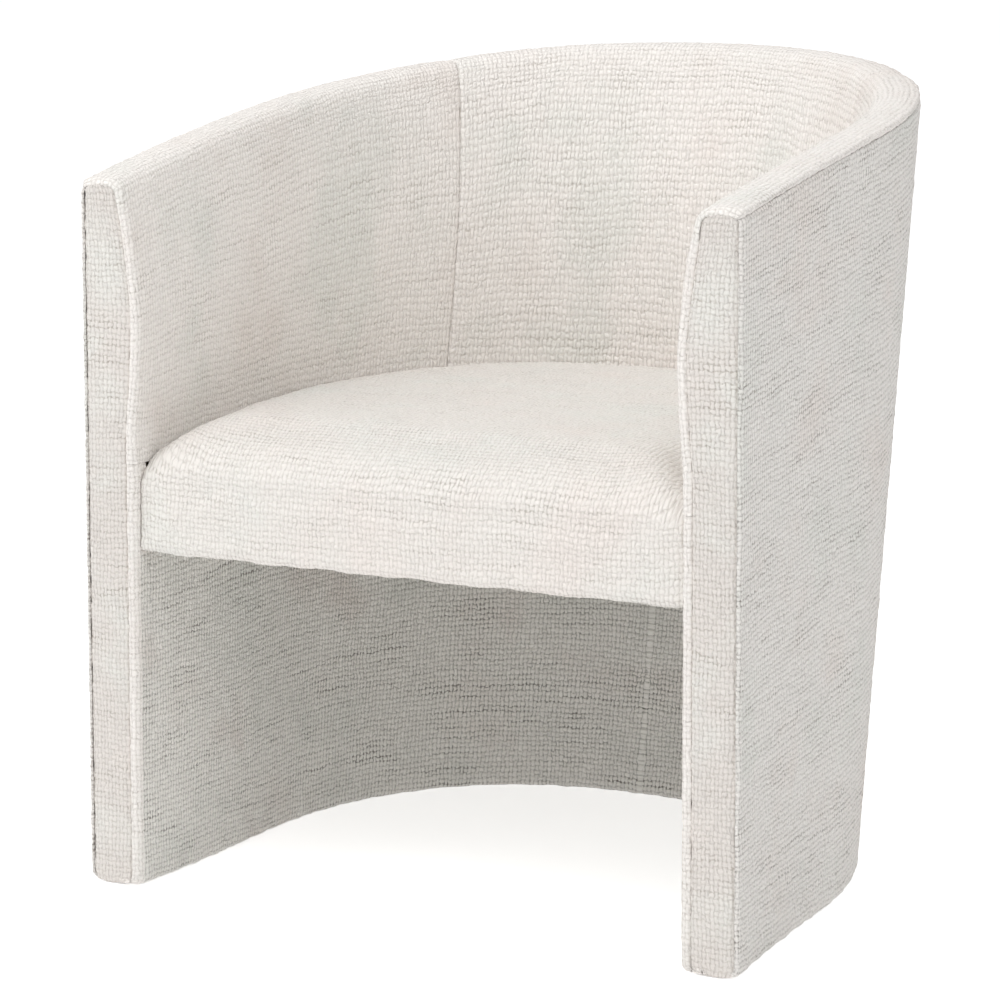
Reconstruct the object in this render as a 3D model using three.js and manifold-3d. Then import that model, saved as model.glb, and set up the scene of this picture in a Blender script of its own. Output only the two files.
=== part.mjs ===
// Upholstered barrel armchair: one curved wall, open at the front, with a fixed seat in it.
// Millimetres, +Z up, the floor at z = 0. The chair faces -Y.
// Left and right are as seen by someone who stands in front of the chair.
import * as THREE from 'three';
import Module from 'manifold-3d';
import { mergeVertices } from 'three/addons/utils/BufferGeometryUtils.js';

const wasm = await Module();
wasm.setup();

// Driving dimensions

const gap = 0.3; // between pieces that touch
const cloth = 2.5; // thickness of the cover fabric

const shell = {
  armHeight: 660, // rim at the two fronts
  backHeight: 760, // rim at the middle of the back
  armRise: 0.42, // how early the rim climbs
  backRise: 0.65, // how high it is by the time the back begins
  frontHalf: { floor: 331, top: 326 },
  sideHalf: { floor: 321, top: 334 },
  bend: { floor: 198, top: 290 }, // where the arm runs into the round back
  back: { floor: 564, top: 680 }, // the back leans
  roundness: 2.25, // 2 is an ellipse, more is squarer
  armShare: 0.36, // share of the steps that go to the two arms
};

const wall = {
  lower: 55, // thickness below the seat
  bottom: 2, // underside of the covers
  boardBottom: 4,
  padStart: 400, // height at which the inside padding starts
  padDrop: 250, // that same place, as a drop below the arm's rim
  rimZone: 40, // drop within which the section keeps its shape round the chair
  backPad: 0.1, // extra padding at the middle of the back
  turned: 14, // how far the covers turn under the bottom rail
};

const layer = {
  wadding: { outer: 3, inner: 5.7 },
  outerBoard: { outer: 6.1, inner: 9.1 },
  frame: { outer: 10.2, inner: 43.7 }, // clear of the boards, which twist a little as the back leans
  slimFrame: { outer: 10.2, inner: 31.3 }, // above the seat
  lowerBoard: { outer: 44.7, inner: 47.7 },
  lowerCover: { outer: wall.lower - cloth, inner: wall.lower },
  upperBoard: { outer: 32.3, inner: 35.3 },
};

// Places along the arm, as distances back from the front face at the floor
const mark = {
  facingBack: cloth,
  coverEnd: cloth + gap,
  padBack: 10.7,
  boardEnd: 11,
  postBack: 56,
  seatRailEnd: 56.3,
};

const rim = { seamDrop: 8, seamGap: 1.3, boardDrop: 9.5, railDrop: 27.5 };
const rail = { thickness: 18, bottom: 4, seatBottom: 321, seatTop: 345, seatInner: 84 };
const seat = {
  crown: 448,
  edge: 429, // where the seat meets the wall
  sideLip: 381, // underside of the tucked sides
  apronBottom: 317,
  apronFace: 8,
  front: { outer: 20, inner: 38, top: 365 }, // the front seat rail, in y
  feltBottom: 374,
  feltTop: 377,
  frontRoll: 24,
  rollDepth: 38,
  returnBack: 16.5, // how far back the apron's sides reach
  clearance: 2.8, // to the padded wall
  cornerStep: 5, // the outline's last point along an arm, behind the face
  cornerHair: 0.6, // width of the step from the apron's side up to the tucked side
  coverShare: 0.988, // inside of the cover, as a share of its outline
};
const foam = { side: 5.8, face: 3.8, top: 2.2, foot: 4, rimStart: 7 }; // distances in from the covers
const underside = { feltBack: 4, liningIn: 4, liningBack: 2, lining: 1.2 };
const facing = { corner: 6, padMargin: 4 };
const spring = {
  radius: 1.9,
  centres: [-178, -62, 62, 178],
  halfWidth: 24,
  turns: 11,
  arch: 8,
  overlap: 8, // how far the ends reach over the rails
  tension: 0.35,
  steps: 42,
};
const clip = { plate: 1.4, slack: 2.5, reach: 14, width: 22 };
const glide = {
  radius: 8.5,
  thickness: 3.7,
  shank: 1.5,
  depth: 16,
  inset: 25,
  front: 34, // the front pair, back from the front face
  around: [0.5, 0.24, 0.76], // the other three, as u
  chamfer: 1,
  point: 2,
};
const block = { leg: 56, bottom: 345.3, top: 364.7, fromEnd: 1 };
const screw = {
  shank: 2,
  head: 4,
  length: 30,
  headLength: 3,
  level: 355,
  fromCorner: 16,
  headBack: 20,
  neck: 1.5,
  point: 4,
  pocket: 40,
  seatGap: 1.8,
};

const backSteps = 17; // steps round the back
const armSteps = 3; // steps along each arm, behind the front post
const panelStep = 7; // the station of each seam in the back, counted from its own front
const studSteps = [3, 7, 11, 15, 19]; // the steps that hold a stud
const tallRows = 3; // rows in a piece as tall as the wall
const shortRows = 2;
const paddedSteps = 20; // steps in each length of the padded line

const looks = {
  fabric: { color: 0xeeeae3, roughness: 0.95, metalness: 0 },
  shadedFabric: { color: 0xe6e2da, roughness: 0.95, metalness: 0 },
  plywood: { color: 0xc8a878, roughness: 0.7, metalness: 0 },
  hardboard: { color: 0x8a6a4a, roughness: 0.8, metalness: 0 },
  foam: { color: 0xf1e6bd, roughness: 0.9, metalness: 0 },
  wadding: { color: 0xf6f5f1, roughness: 1, metalness: 0 },
  felt: { color: 0x77736c, roughness: 1, metalness: 0 },
  lining: { color: 0xd9d6d0, roughness: 0.95, metalness: 0 },
  steel: { color: 0x9a9da1, roughness: 0.35, metalness: 1 },
  plastic: { color: 0x4a4a4c, roughness: 0.5, metalness: 0 },
};

const chair = new THREE.Group();

// Helpers

function addPiece(name, geometry, look) {
  const mesh = new THREE.Mesh(geometry, new THREE.MeshStandardMaterial(looks[look]));
  mesh.name = name;
  chair.add(mesh);
}

// Merges shared vertices, drops empty triangles and turns every face outwards.
function closed(geometry) {
  const plain = geometry.clone();
  plain.deleteAttribute('normal');
  plain.deleteAttribute('uv');
  const merged = mergeVertices(plain, 1e-3);
  const corners = [];
  const p = [new THREE.Vector3(), new THREE.Vector3(), new THREE.Vector3()];
  let volume = 0;
  for (let i = 0; i < merged.index.count; i += 3) {
    const t = [0, 1, 2].map((k) => merged.index.getX(i + k));
    if (t[0] === t[1] || t[1] === t[2] || t[2] === t[0]) continue;
    t.forEach((v, k) => p[k].fromBufferAttribute(merged.attributes.position, v));
    volume += p[0].dot(p[1].clone().cross(p[2]));
    corners.push(t);
  }
  if (volume < 0) corners.forEach((t) => t.reverse());
  merged.setIndex(corners.flat());
  return merged;
}

function toSolid(geometry) {
  const shape = closed(geometry);
  return new wasm.Manifold(
    new wasm.Mesh({
      numProp: 3,
      vertProperties: new Float32Array(shape.attributes.position.array),
      triVerts: new Uint32Array(shape.index.array),
    }),
  );
}

function toGeometry(solid) {
  const mesh = solid.getMesh();
  const geometry = new THREE.BufferGeometry();
  geometry.setAttribute('position', new THREE.BufferAttribute(mesh.vertProperties, 3));
  geometry.setIndex(new THREE.BufferAttribute(mesh.triVerts, 1));
  return geometry;
}

function cut(geometry, ...tools) {
  return toGeometry(tools.reduce((solid, tool) => solid.subtract(toSolid(tool)), toSolid(geometry)));
}

function moveVertices(geometry, place) {
  const position = geometry.attributes.position;
  for (let i = 0; i < position.count; i += 1) {
    const v = place(position.getX(i), position.getY(i), position.getZ(i));
    position.setXYZ(i, v.x, v.y, v.z);
  }
  return closed(geometry);
}

function outline(points) {
  return new THREE.Shape(points.map(([x, y]) => new THREE.Vector2(x, y)));
}

// A line of the same shape, a distance to its left.
function besideLine(points, distance) {
  return points.map((point, i) => {
    const before = points[Math.max(i - 1, 0)];
    const after = points[Math.min(i + 1, points.length - 1)];
    const along = new THREE.Vector2(after[0] - before[0], after[1] - before[1]).normalize();
    return [point[0] - along.y * distance, point[1] + along.x * distance];
  });
}

// The curved wall. A place on it is u (0 at the right front, 1 at the left front),
// an inset in from the outer face, and a height.

function planAt(z) {
  const k = z / shell.backHeight;
  const between = ({ floor, top }) => THREE.MathUtils.lerp(floor, top, k);
  return {
    front: between(shell.frontHalf),
    side: between(shell.sideHalf),
    bend: between(shell.bend),
    back: between(shell.back),
  };
}

function wallPoint(u, inset, z) {
  const plan = planAt(z);
  const side = u < 0.5 ? 1 : -1;
  const away = Math.abs(2 * u - 1);
  const backShare = 1 - shell.armShare;
  if (away >= backShare) {
    const along = (1 - away) / shell.armShare;
    const x = plan.side - (plan.side - plan.front) * (1 - along) ** 2 - inset;
    return new THREE.Vector3(side * x, plan.bend * along, z);
  }
  const angle = (away / backShare) * (Math.PI / 2);
  const depth = plan.back - plan.bend;
  const power = shell.roundness;
  const across = Math.sin(angle) ** (2 / power);
  const behind = Math.cos(angle) ** (2 / power);
  const inward = new THREE.Vector2(
    across ** (power - 1) / plan.side,
    behind ** (power - 1) / depth,
  ).normalize();
  const x = plan.side * across - inward.x * inset;
  const y = plan.bend + depth * behind - inward.y * inset;
  return new THREE.Vector3(side * x, y, z);
}

function rimHeight(u) {
  const y = wallPoint(u, 0, shell.backHeight).y;
  const t = y / shell.back.top;
  const climb = 3 * (1 - t) ** 2 * t * shell.armRise + 3 * (1 - t) * t ** 2 * shell.backRise + t ** 3;
  return THREE.MathUtils.lerp(shell.armHeight, shell.backHeight, climb);
}

// u at a distance back from the right front, measured at the floor
function uAt(distance) {
  return ((distance / shell.bend.floor) * shell.armShare) / 2;
}

// Steps that every long piece shares, so that its layers stay parallel
const armEnd = shell.armShare / 2;
const armStations = [];
for (let i = 0; i < armSteps; i += 1) {
  armStations.push(THREE.MathUtils.lerp(uAt(mark.seatRailEnd), armEnd, i / armSteps));
}
const backStations = [];
for (let i = 0; i <= backSteps; i += 1) {
  backStations.push(THREE.MathUtils.lerp(armEnd, 1 - armEnd, i / backSteps));
}
const stations = [...armStations, ...backStations, ...armStations.map((u) => 1 - u).reverse()];
const lastStation = stations.length - 1;

function around(distance) {
  const start = uAt(distance);
  const between = stations.filter((u) => u > start + 1e-6 && u < 1 - start - 1e-6);
  return [start, ...between, 1 - start];
}

// The part of a run of steps that lies between two stations, a hair short at each cut
function stretch(run, first, last) {
  const hair = gap / 1500;
  const from = first === null ? run[0] : stations[first] + hair;
  const to = last === null ? run[run.length - 1] : stations[last] - hair;
  return [from, ...run.filter((u) => u > from + 1e-4 && u < to - 1e-4), to];
}

// Heights in a wall section are drops below the rim. Near the rim a drop is plain millimetres.
// Further down it is shared out, so that every section reaches the same height at padDrop.
function heightAtDrop(drop, u) {
  const top = rimHeight(u);
  if (drop <= wall.rimZone) return top - drop;
  const share = (drop - wall.rimZone) / (wall.padDrop - wall.rimZone);
  return THREE.MathUtils.lerp(top - wall.rimZone, wall.padStart, share);
}

function paddedInset(inset, drop, u) {
  const start = layer.upperBoard.inner;
  if (inset <= start) return inset;
  const backness = 1 - Math.abs(2 * u - 1);
  const belly = Math.sin(Math.PI * Math.min(Math.max(drop / wall.padDrop, 0), 1));
  return start + (inset - start) * (1 + wall.backPad * 2 * backness * belly);
}

// Splits each side face of a pushed section from its low corner at the start to its high corner
// at the end, so that neighbouring layers fold the same way where the wall twists.
function splitAlike(geometry) {
  const position = geometry.attributes.position;
  const { start, count } = geometry.groups[1];
  for (let i = start; i < start + count; i += 6) {
    const [a, b, d, , c] = [0, 1, 2, 3, 4].map((k) => {
      return new THREE.Vector3().fromBufferAttribute(position, i + k);
    });
    if (a.y >= b.y) continue;
    [a, b, c, a, c, d].forEach((p, k) => position.setXYZ(i + k, p.x, p.y, p.z));
  }
}

// Pushes a closed section of (inset, level) along the wall through the given steps.
function alongWall(section, run, place) {
  const shape = section instanceof THREE.Shape ? section : outline(section);
  const geometry = new THREE.ExtrudeGeometry(shape, {
    depth: 1,
    steps: run.length - 1,
    bevelEnabled: false,
  });
  splitAlike(geometry);
  return moveVertices(geometry, (inset, level, k) => {
    const u = run[Math.round(k * (run.length - 1))];
    return place(inset, level, u);
  });
}

const byHeight = (inset, z, u) => wallPoint(u, inset, z);
const byDrop = (inset, drop, u) => {
  return wallPoint(u, paddedInset(inset, drop, u), heightAtDrop(drop, u));
};
// Level 0 is a fixed height, level 1 a fixed drop below the rim
const fromHeightToDrop = (z, drop) => (inset, level, u) => {
  return wallPoint(u, inset, THREE.MathUtils.lerp(z, rimHeight(u) - drop, level));
};

// A rectangular section. Rows keep a tall piece true to the leaning wall.
function rectangle({ outer, inner }, low, high, rows = 1) {
  const levels = [];
  for (let i = 0; i <= rows; i += 1) levels.push(THREE.MathUtils.lerp(low, high, i / rows));
  return [...levels.map((level) => [inner, level]), ...levels.reverse().map((level) => [outer, level])];
}

// The padded inner face and the rolled rim, from the seat up and over to the outer edge,
// as (inset, drop)
const paddedLine = new THREE.SplineCurve([
  new THREE.Vector2(wall.lower, wall.padDrop),
  new THREE.Vector2(55.6, 215),
  new THREE.Vector2(58.5, 182),
  new THREE.Vector2(61, 120),
  new THREE.Vector2(55, 60),
  new THREE.Vector2(46, 16),
  new THREE.Vector2(38, 3.5),
  new THREE.Vector2(24, 0),
  new THREE.Vector2(9, 1),
  new THREE.Vector2(1.6, 4),
  new THREE.Vector2(0, rim.seamDrop),
]).getPoints(paddedSteps).map((p) => [p.x, p.y]);

// Wooden frame

function makeRails() {
  const behind = glide.around.map((u) => wallPoint(u, glide.inset, 0));
  const fronts = [1, -1].map((side) => {
    const point = wallPoint(uAt(glide.front), glide.inset, 0);
    return point.setX(point.x * side);
  });
  const feet = [...behind, ...fronts];
  const holes = feet.map((foot) => {
    const hole = new THREE.CylinderGeometry(glide.shank + gap, glide.shank + gap, 2 * glide.depth, 8);
    return hole.rotateX(Math.PI / 2).translate(foot.x, foot.y, gap);
  });
  const bottomTop = rail.bottom + rail.thickness;
  const bottomSection = rectangle(layer.frame, rail.bottom, bottomTop);
  const bottomRail = alongWall(bottomSection, around(mark.boardEnd), byHeight);
  addPiece('bottom_rail', cut(bottomRail, ...holes), 'plywood');

  const wide = { outer: layer.frame.outer, inner: rail.seatInner };
  const seatSection = rectangle(wide, rail.seatBottom, rail.seatTop);
  addPiece('seat_rail', alongWall(seatSection, around(mark.seatRailEnd), byHeight), 'plywood');

  const topSection = rectangle(layer.slimFrame, rim.railDrop, rim.boardDrop);
  addPiece('top_rail', alongWall(topSection, around(mark.boardEnd), byDrop), 'plywood');

  feet.forEach((foot, i) => {
    const { radius, thickness, shank, depth, chamfer, point } = glide;
    const profile = [[0, 0], [radius - chamfer, 0], [radius, chamfer], [radius, thickness],
      [shank, thickness], [shank, depth - point], [0, depth]];
    const lathe = new THREE.LatheGeometry(profile.map(([x, y]) => new THREE.Vector2(x, y)), 12);
    addPiece(`glide_${i + 1}`, closed(lathe.rotateX(Math.PI / 2).translate(foot.x, foot.y, 0)), 'plastic');
  });
}

function makePosts() {
  const low = rail.bottom + rail.thickness + gap;
  const place = fromHeightToDrop(low, rim.railDrop + gap);
  ['right', 'left'].forEach((side) => {
    const run = [uAt(mark.boardEnd), uAt(mark.postBack)];
    const sideRun = side === 'right' ? run : run.map((u) => 1 - u).reverse();
    const section = rectangle(layer.slimFrame, 0, 1, tallRows);
    addPiece(`${side}_front_post`, alongWall(section, sideRun, place), 'plywood');
  });
}

// Each stud fills one of the shared steps, from the right side round the back to the left
function makeStuds() {
  const low = rail.bottom + rail.thickness + gap;
  studSteps.forEach((k, i) => {
    const run = [stations[k], stations[k + 1]];
    const lower = rectangle(layer.frame, low, rail.seatBottom - gap, shortRows);
    addPiece(`lower_stud_${i + 1}`, alongWall(lower, run, byHeight), 'plywood');
    const place = fromHeightToDrop(rail.seatTop + gap, rim.railDrop + gap);
    const upper = rectangle(layer.slimFrame, 0, 1, shortRows);
    addPiece(`upper_stud_${i + 1}`, alongWall(upper, run, place), 'plywood');
  });
}

function makeBoards() {
  const run = around(mark.boardEnd);
  const outer = alongWall(rectangle(layer.outerBoard, 0, 1, tallRows), run,
    fromHeightToDrop(wall.boardBottom, rim.boardDrop));
  addPiece('outer_board', outer, 'hardboard');
  const lower = rectangle(layer.lowerBoard, wall.boardBottom, seat.apronBottom - gap, shortRows);
  addPiece('lower_inner_board', alongWall(lower, run, byHeight), 'hardboard');
  const upper = rectangle(layer.upperBoard, wall.padDrop, rim.boardDrop, shortRows);
  addPiece('upper_inner_board', alongWall(upper, run, byDrop), 'hardboard');
  const wadding = alongWall(rectangle(layer.wadding, 0, 1, tallRows), run,
    fromHeightToDrop(wall.boardBottom, rim.boardDrop));
  addPiece('outside_wadding', wadding, 'wadding');
}

// Front seat rail, its corner blocks and their screws

function makeFrontRail() {
  const end = layer.slimFrame.inner + gap;
  const length = 2 * (wallPoint(uAt(seat.front.outer), end, rail.seatBottom).x - block.fromEnd);
  const depth = seat.front.inner - seat.front.outer;
  const height = seat.front.top - rail.seatBottom;
  const y = (seat.front.outer + seat.front.inner) / 2;
  const z = (seat.front.top + rail.seatBottom) / 2;
  const board = new THREE.BoxGeometry(length, depth, height).translate(0, y, z);
  const holes = [];
  ['right', 'left'].forEach((name) => {
    const side = name === 'right' ? 1 : -1;
    const cornerX = length / 2 - block.fromEnd;
    const backY = seat.front.inner + gap;
    const triangle = outline([[0, 0], [block.leg, 0], [0, block.leg]]);
    const depthOfBlock = block.top - block.bottom;
    const prism = new THREE.ExtrudeGeometry(triangle, { depth: depthOfBlock, bevelEnabled: false });
    prism.scale(-side, 1, 1).translate(side * cornerX, backY, block.bottom);

    const screwX = side * (cornerX - screw.fromCorner);
    const headY = backY + screw.headBack;
    const { shank, head, length: reach, headLength, neck, point, pocket } = screw;
    const profile = [[0, 0], [head, 0], [head, headLength], [shank, headLength + neck],
      [shank, reach - point], [0, reach]];
    const lathe = new THREE.LatheGeometry(profile.map(([r, y0]) => new THREE.Vector2(r, y0)), 10);
    lathe.rotateX(Math.PI).translate(screwX, headY, screw.level);
    addPiece(`${name}_block_screw`, closed(lathe), 'steel');

    const shankHole = new THREE.CylinderGeometry(shank + gap, shank + gap, 2 * reach, 10);
    shankHole.translate(screwX, headY - gap, screw.level);
    const headHole = new THREE.CylinderGeometry(head + gap, head + gap, pocket, 10);
    headHole.translate(screwX, headY + pocket / 2 - headLength - screw.seatGap, screw.level);
    addPiece(`${name}_corner_block`, cut(prism, shankHole, headHole), 'plywood');
    const railHole = new THREE.CylinderGeometry(shank + gap, shank + gap, screw.headBack, 10);
    holes.push(railHole.translate(screwX, seat.front.inner, screw.level));
  });
  addPiece('front_seat_rail', cut(board, ...holes), 'plywood');
}

// Zigzag springs from the seat rail at the back to the front seat rail

function backEdgeY(x) {
  let low = armEnd;
  let high = 0.5;
  for (let i = 0; i < 30; i += 1) {
    const u = (low + high) / 2;
    if (wallPoint(u, rail.seatInner, rail.seatTop).x > Math.abs(x)) low = u;
    else high = u;
  }
  return wallPoint(low, rail.seatInner, rail.seatTop).y;
}

function makeClip(name, x, y, z) {
  const { plate, slack, reach, width } = clip;
  const mouth = 2 * spring.radius + 2 * gap;
  const side = outline([[0, 0], [reach, 0], [reach, plate], [plate, plate], [plate, plate + mouth],
    [reach, plate + mouth], [reach, 2 * plate + mouth], [0, 2 * plate + mouth]]);
  const bent = new THREE.ExtrudeGeometry(side, { depth: width, bevelEnabled: false });
  const turn = name.endsWith('front') ? 1 : -1;
  bent.translate(-spring.radius - plate - slack, 0, -width / 2);
  bent.rotateX(Math.PI / 2).rotateZ((turn * Math.PI) / 2);
  addPiece(name, closed(bent.translate(x, y, z + gap)), 'steel');
}

function makeSprings() {
  const ring = new THREE.Shape().absarc(0, 0, spring.radius, 0, 2 * Math.PI);
  spring.centres.forEach((x, i) => {
    const lift = clip.plate + 2 * gap + spring.radius;
    const front = { y: seat.front.inner - spring.overlap, z: seat.front.top + lift };
    const back = { y: backEdgeY(Math.abs(x) - clip.width / 2) + spring.overlap, z: rail.seatTop + lift };
    const points = [];
    for (let k = 0; k <= spring.turns; k += 1) {
      const t = k / spring.turns;
      const y = THREE.MathUtils.lerp(front.y, back.y, t);
      const z = THREE.MathUtils.lerp(front.z, back.z, t) + spring.arch * Math.sin(Math.PI * t);
      const swing = k % 2 === 0 ? 1 : -1;
      points.push(new THREE.Vector3(x - swing * spring.halfWidth, y, z));
      points.push(new THREE.Vector3(x + swing * spring.halfWidth, y, z));
    }
    const path = new THREE.CatmullRomCurve3(points, false, 'catmullrom', spring.tension);
    const { steps } = spring;
    const wire = new THREE.ExtrudeGeometry(ring, { steps, extrudePath: path, curveSegments: 3 });
    addPiece(`seat_spring_${i + 1}`, closed(wire), 'steel');
    makeClip(`spring_clip_${i + 1}_front`, x, front.y, seat.front.top);
    makeClip(`spring_clip_${i + 1}_back`, x, back.y, rail.seatTop);
  });
}

// The seat. Its outline follows the wall and closes along a straight front.

const seatCentre = new THREE.Vector2(0, shell.bend.floor + 60);
const frontSteps = 5;

function seatOutline(inset, faceY, z) {
  const side = around(faceY).map((u) => {
    const p = wallPoint(u, inset, z);
    return new THREE.Vector2(p.x, p.y);
  });
  const corner = side[0].x;
  const round = side.slice(1, -1);
  const turn = Math.max(seat.returnBack, faceY + seat.cornerStep);
  const ends = [faceY, turn, turn + seat.cornerHair];
  const right = ends.map((y) => new THREE.Vector2(corner, y));
  const left = ends.map((y) => new THREE.Vector2(-corner, y)).reverse();
  const front = [];
  for (let i = 1; i < frontSteps; i += 1) {
    front.push(new THREE.Vector2(THREE.MathUtils.lerp(-corner, corner, i / frontSteps), faceY));
  }
  return [...right, ...round, ...left, ...front];
}

// Turns a lathed profile of (share of the outline, level) into a solid. Upper levels stand on one
// outline and lower levels, from 2 up, on another.
function onOutline(upper, lower, profile, height) {
  const count = upper.length;
  const lathe = new THREE.LatheGeometry(profile.map(([r, level]) => new THREE.Vector2(r, level)), count);
  return moveVertices(lathe, (x, level, z) => {
    const share = Math.hypot(x, z);
    const turn = Math.atan2(x, z) / (2 * Math.PI);
    const k = Math.round((turn < 0 ? turn + 1 : turn) * count) % count;
    const edge = (level < 2 ? upper : lower)[k];
    const p = seatCentre.clone().lerp(edge, share);
    return new THREE.Vector3(p.x, p.y, height(level, share, p, edge));
  });
}

// Height of the crowned seat surface. It rolls over at the front and dips a little at the wall.
function seatTop(share, p, below) {
  const dip = (seat.crown - seat.edge) * share ** 5;
  const back = (p.y - seat.apronFace) / seat.rollDepth;
  const roll = seat.frontRoll * Math.max(0, 1 - back) ** 2;
  return seat.crown - dip - roll - below;
}

function makeSeat() {
  const inset = wall.lower + seat.clearance;
  const inside = seat.coverShare;
  // Levels 0 and 1 are the top surface from outside and inside, 2 is the lip
  const cover = onOutline(
    seatOutline(inset, seat.apronFace, seat.edge),
    seatOutline(inset, seat.apronFace, seat.sideLip),
    [[0, 0], [0.4, 0], [0.7, 0], [0.88, 0], [0.95, 0], [1, 0], [1, 2],
      [inside, 2], [inside, 1], [0.94, 1], [0.87, 1], [0.7, 1], [0.4, 1], [0, 1]],
    (level, share, p, edge) => {
      if (level === 2) return edge.y <= seat.returnBack ? seat.apronBottom : seat.sideLip;
      return seatTop(share, p, level * cloth);
    },
  );
  addPiece('seat_cover', cover, 'fabric');

  const foamInset = inset + foam.side;
  const foamBottom = seat.apronBottom + foam.foot;
  const padding = onOutline(
    seatOutline(foamInset, seat.apronFace + foam.face, seat.edge),
    seatOutline(foamInset, seat.apronFace + foam.face, foamBottom),
    [[0, 0], [0.4, 0], [0.7, 0], [0.87, 0], [0.94, 0], [1, 0], [1, 2], [0, 2]],
    (level, share, p) => (level === 2 ? foamBottom : seatTop(share, p, cloth + foam.top)),
  );
  const room = 900; // larger than the chair
  const under = new THREE.BoxGeometry(room, room, 2 * room);
  under.translate(0, room / 2 + seat.front.outer - gap, seat.feltTop + gap - room);
  addPiece('seat_foam', cut(padding, under), 'foam');

  const flat = [[0, 0], [1, 0], [1, 1], [0, 1]];
  const feltEdge = seatOutline(foamInset, seat.front.outer + underside.feltBack, seat.feltTop);
  const felt = onOutline(feltEdge, feltEdge, flat, (level) => (level ? seat.feltTop : seat.feltBottom));
  addPiece('spring_felt', felt, 'felt');

  const liningIn = layer.lowerBoard.outer + underside.liningIn;
  const liningEdge = seatOutline(liningIn, seat.front.outer + underside.liningBack, rail.seatBottom);
  const liningTop = rail.seatBottom - gap;
  const lining = onOutline(liningEdge, liningEdge, flat, (level) => {
    return liningTop - (level ? 0 : underside.lining);
  });
  addPiece('dust_cover', lining, 'lining');
}

// Inside padding, covers and facings

const panelCuts = [panelStep, lastStation - panelStep];

function makeInside() {
  const under = besideLine(paddedLine, -cloth);
  const strip = [...paddedLine, ...under.reverse()];
  const run = around(mark.coverEnd);
  const panels = [['right', null, panelCuts[0]], ['centre', ...panelCuts], ['left', panelCuts[1], null]];
  panels.forEach(([name, first, last]) => {
    const geometry = alongWall(strip, stretch(run, first, last), byDrop);
    addPiece(`inside_cover_${name}`, geometry, 'fabric');
  });

  const foamLine = besideLine(paddedLine, -cloth - gap).filter(([inset]) => inset > foam.rimStart);
  const board = layer.upperBoard.inner + gap;
  const over = rim.boardDrop - gap;
  const halfway = (rim.boardDrop + wall.padDrop) / 2;
  const foamSection = [...foamLine, [foam.rimStart, over], [board, over], [board, halfway],
    [board, wall.padDrop]];
  addPiece('inside_foam', alongWall(foamSection, around(mark.boardEnd), byDrop), 'foam');

  const { outer, inner: face } = layer.lowerCover;
  const tucked = face - wall.turned;
  const lower = [[face, wall.bottom], [face, seat.apronBottom - gap], [outer, seat.apronBottom - gap],
    [outer, rail.bottom - gap], [tucked, rail.bottom - gap], [tucked, wall.bottom]];
  addPiece('lower_inside_cover', alongWall(lower, run, byHeight), 'shadedFabric');
}

function makeOutside() {
  const run = around(mark.coverEnd);
  const { bottom, turned } = wall;
  const low = rail.bottom - gap;
  // Levels below the first row are millimetres above the floor, and the last row is the rim seam
  const row = 10;
  const upright = rectangle({ outer: 0, inner: cloth }, row, row + tallRows, tallRows);
  const section = [[0, bottom], [turned, bottom], [turned, low], [cloth, low], ...upright];
  const place = (inset, level, u) => {
    const top = rimHeight(u) - rim.seamDrop - rim.seamGap;
    const z = level < row ? level : THREE.MathUtils.lerp(row, top, (level - row) / tallRows);
    return wallPoint(u, inset, z);
  };
  const panels = [['right', null, panelCuts[0]], ['back', ...panelCuts], ['left', panelCuts[1], null]];
  panels.forEach(([name, first, last]) => {
    addPiece(`outside_cover_${name}`, alongWall(section, stretch(run, first, last), place), 'fabric');
  });
}

// The outline of a front end, drawn in by a margin
function facingOutline(margin) {
  const { corner } = facing;
  const top = besideLine(paddedLine, -margin).map(([inset, drop]) => [inset, heightAtDrop(drop, 0)]);
  const low = wall.bottom + margin;
  return [[margin, low + corner], [margin + corner, low], [wall.lower - margin - corner, low],
    [wall.lower - margin, low + corner], ...top];
}

function makeFacings() {
  ['right', 'left'].forEach((side) => {
    const mirrored = (run) => (side === 'right' ? run : run.map((u) => 1 - u).reverse());
    const cover = alongWall(facingOutline(0), mirrored([0, uAt(mark.facingBack)]), byHeight);
    addPiece(`${side}_facing`, cover, 'fabric');
    const padRun = mirrored([uAt(mark.coverEnd), uAt(mark.padBack)]);
    const pad = alongWall(facingOutline(facing.padMargin), padRun, byHeight);
    addPiece(`${side}_facing_pad`, pad, 'foam');
  });
}

makeRails();
makePosts();
makeStuds();
makeBoards();
makeFrontRail();
makeSprings();
makeSeat();
makeInside();
makeOutside();
makeFacings();

// The origin goes to the middle of the floor under the chair
const centre = new THREE.Box3().setFromObject(chair).getCenter(new THREE.Vector3());
chair.children.forEach((piece) => piece.geometry.translate(0, -centre.y, 0));

export default chair;
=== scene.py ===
import math
from bisect import bisect_right

import bmesh
import bpy
from mathutils import Matrix, Vector, noise


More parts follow.
